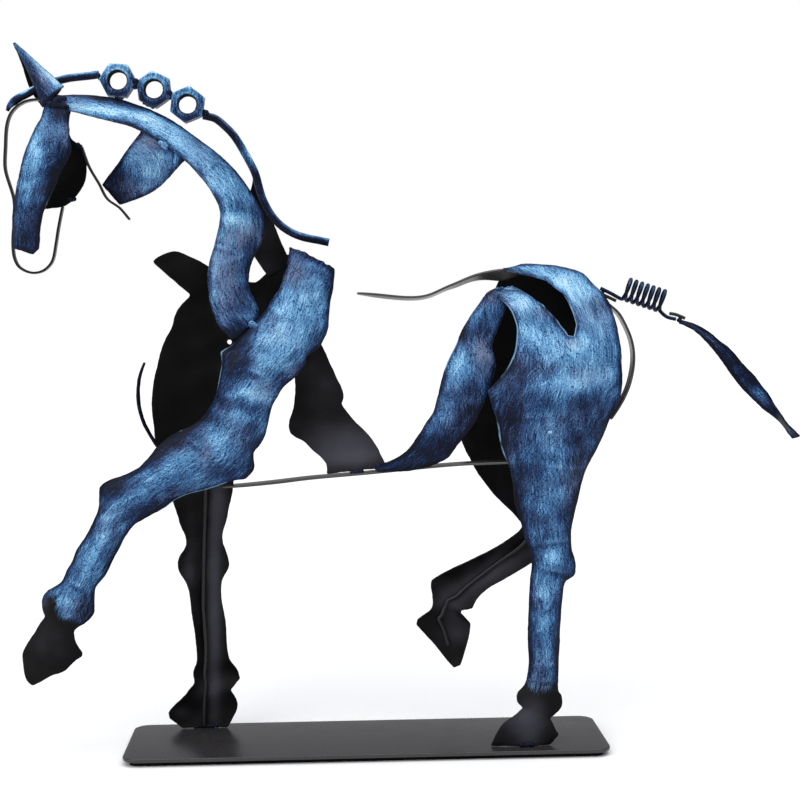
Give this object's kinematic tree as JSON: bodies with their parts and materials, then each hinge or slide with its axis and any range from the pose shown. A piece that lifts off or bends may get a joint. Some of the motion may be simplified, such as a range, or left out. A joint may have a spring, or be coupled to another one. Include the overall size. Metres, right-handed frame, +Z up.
{
  "type": "metal horse sculpture",
  "caption": "Walking horse of cut and bent steel sheet, strap and rod with dry-brushed blue faces, hex-nut mane and coil-spring tail, fixed to a flat black plate.",
  "frame": {"origin": "middle of the underside of the pad under the plate", "axes": "+X along the plate from the horse's head toward its tail, +Y from its near side to its far side, +Z up"},
  "size_m": [0.4044, 0.066, 0.3596],
  "materials": {
    "blue_steel": "mild steel with blue dry-brushed over black paint on the outer side",
    "black_steel": "mild steel with satin black paint",
    "pad": "thin black pad under the plate"
  },
  "bodies": {
    "root": {"base_pad": "pad", "base_plate": "black_steel", "near_foreleg": "blue_steel", "far_foreleg": "blue_steel", "near_hindleg": "blue_steel", "far_hindleg": "blue_steel", "foreleg_rod": "black_steel", "hindleg_rod": "black_steel", "near_flank": "blue_steel", "far_rib": "blue_steel", "spine_strap": "black_steel", "belly_strap": "black_steel", "chest_strip": "blue_steel", "neck": "blue_steel", "throat_plate": "blue_steel", "throat_strip": "black_steel", "far_neck_plate": "blue_steel", "near_cheek": "blue_steel", "far_cheek": "blue_steel", "face_strip": "black_steel", "near_ear": "blue_steel", "far_ear": "blue_steel", "mane_nut_1": "blue_steel", "mane_nut_2": "blue_steel", "mane_nut_3": "blue_steel", "mane_front_rod": "blue_steel", "mane_rear_rod": "blue_steel", "tail_spring": "black_steel", "tail_stem": "black_steel", "tail_link": "black_steel", "tail_leaf": "blue_steel"}
  },
  "joints": []
}
